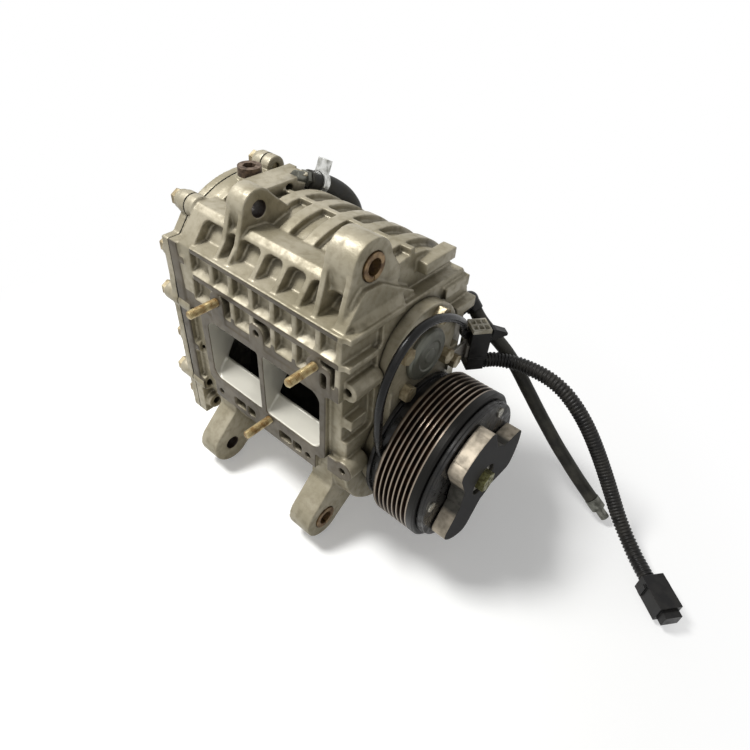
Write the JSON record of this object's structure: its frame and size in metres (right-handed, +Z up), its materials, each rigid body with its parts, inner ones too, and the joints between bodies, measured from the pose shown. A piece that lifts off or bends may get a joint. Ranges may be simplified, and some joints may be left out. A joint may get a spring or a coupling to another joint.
{
  "type": "rotary supercharger",
  "caption": "Belt-driven two-lobe rotary blower with ribbed cast housing, divided delivery port, mounting lugs, timing-gear cover, grooved pulley with magnetic clutch, lead and hoses.",
  "frame": {"origin": "middle of the delivery flange face, on the divider of the port, midway between the two rotor axes", "axes": "+X along the rotor shafts towards the pulley, +Y from the delivery flange into the housing, +Z up from the driving rotor to the driven rotor"},
  "size_m": [0.3991, 0.2001, 0.2274],
  "materials": {
    "weathered_casting": "dull, stained sand-cast aluminium",
    "machined_aluminium": "turned and faced, light marks",
    "bright_clamp": "bright spring steel",
    "gasket_fibre": "thin compressed fibre sheet",
    "plated_fasteners": "yellow-grey plated steel, worn",
    "cap_steel": "grey pressed cap",
    "rusty_studs": "rusted steel studs with worn thread",
    "bronze_bush": "rolled bronze bush",
    "brown_plug": "brown oxidised plug",
    "bearing_steel": "ground steel",
    "seal_rubber": "black moulded rubber",
    "gear_steel": "oiled gear steel",
    "coil_black": "black painted coil body",
    "worn_pulley": "worn, brown-stained steel grooves",
    "clutch_black": "black phosphated steel",
    "rivet_steel": "bright rivet heads",
    "lead_sleeve": "smooth black sleeve",
    "connector_black": "black moulded plastic",
    "insert_pale": "pale moulded plastic",
    "conduit_black": "ribbed black conduit",
    "grey_hose": "grey-black hose",
    "hose_fittings": "plain grey barbed fitting"
  },
  "bodies": {
    "housing": {"rotor_housing": "weathered_casting", "rear_bearing_plate": "machined_aluminium", "rear_cover": "weathered_casting", "cover_gasket": "gasket_fibre", "cover_bolts": "plated_fasteners", "front_cover": "weathered_casting", "front_cover_bolts": "plated_fasteners", "bearing_cap": "cap_steel", "port_studs": "rusty_studs", "lug_bushes": "bronze_bush", "oil_filler_plug": "brown_plug", "drain_plug": "plated_fasteners", "rear_bearings": "bearing_steel", "front_bearings": "bearing_steel", "shaft_seals": "seal_rubber", "clutch_coil": "coil_black", "coil_screws": "plated_fasteners", "bearing_snap_ring": "bright_clamp", "coil_lead": "lead_sleeve", "connector_bracket": "machined_aluminium", "bracket_bolt": "plated_fasteners", "connector_shell": "connector_black", "connector_insert": "insert_pale", "connector_clip": "connector_black", "conduit": "conduit_black", "conduit_plug": "connector_black", "side_elbow": "connector_black", "side_hose": "grey_hose", "side_hose_end": "hose_fittings", "breather_nipple": "hose_fittings", "breather_hose": "grey_hose", "hose_clamp": "bright_clamp", "breather_end": "hose_fittings"},
    "drive": {"drive_shaft": "bearing_steel", "drive_rotor": "machined_aluminium", "drive_gear": "gear_steel", "drive_gear_nut": "gear_steel", "clutch_hub": "clutch_black", "rubber_dampers": "seal_rubber", "hub_washer": "plated_fasteners", "hub_bolt": "plated_fasteners"},
    "driven": {"driven_shaft": "bearing_steel", "driven_rotor": "machined_aluminium", "driven_gear": "gear_steel", "driven_gear_nut": "gear_steel"},
    "pulley": {"pulley": "worn_pulley", "pulley_bearing": "bearing_steel"},
    "armature": {"armature_plate": "clutch_black", "armature_rivets": "rivet_steel"}
  },
  "joints": [
    {"name": "drive_spin", "type": "hinge", "parent": "housing", "child": "drive", "pos_m": [0, 0.064, -0.0365], "axis": [1, 0, 0], "continuous": true},
    {"name": "driven_spin", "type": "hinge", "parent": "housing", "child": "driven", "pos_m": [0, 0.064, 0.0365], "axis": [1, 0, 0], "continuous": true},
    {"name": "pulley_spin", "type": "hinge", "parent": "housing", "child": "pulley", "pos_m": [0.1, 0.064, -0.0365], "axis": [1, 0, 0], "continuous": true},
    {"name": "armature_slide", "type": "slide", "parent": "drive", "child": "armature", "axis": [-1, 0, 0], "range_m": [0, 0.00045]}
  ],
  "couplings": [
    {"joint": "driven_spin", "follows": "drive_spin", "ratio": -1}
  ]
}
